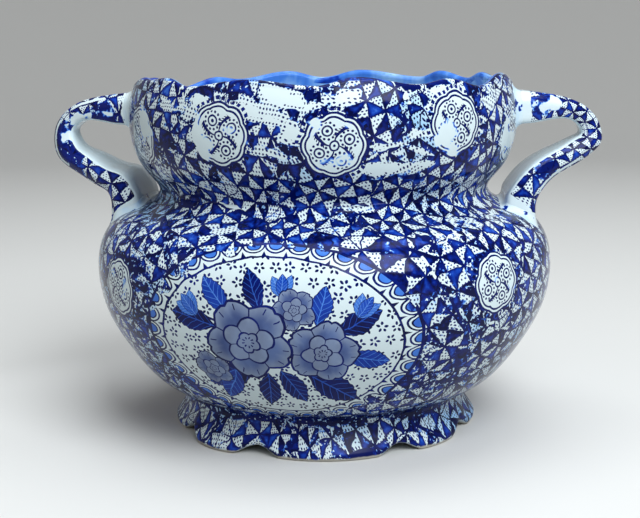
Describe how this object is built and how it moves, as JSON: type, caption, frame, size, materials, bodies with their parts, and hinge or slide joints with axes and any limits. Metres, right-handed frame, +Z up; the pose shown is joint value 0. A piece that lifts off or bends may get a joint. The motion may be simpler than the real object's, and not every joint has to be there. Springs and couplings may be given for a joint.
{
  "type": "ceramic jardiniere",
  "caption": "Glazed earthenware jardiniere: a swelling bowl on a scalloped foot, with a waisted collar, wavy rim and strap handles, that holds a potted plant.",
  "frame": {"origin": "middle of the foot on the plane it stands on, under the pot's axis", "axes": "+Z up along the pot's axis, +X towards the right handle, front towards -Y"},
  "size_m": [0.2776, 0.23, 0.1778],
  "materials": {
    "printed_glaze": "cobalt print under clear gloss glaze",
    "white_slip": "bare white slip under clear gloss glaze"
  },
  "bodies": {
    "root": {"belly_bowl": "printed_glaze", "collar": "printed_glaze", "foot_ring": "printed_glaze", "handle_left": "printed_glaze", "handle_right": "printed_glaze", "waist_slip": "white_slip", "foot_slip": "white_slip", "upper_left_slip": "white_slip", "lower_left_slip": "white_slip", "upper_right_slip": "white_slip", "lower_right_slip": "white_slip"}
  },
  "joints": []
}
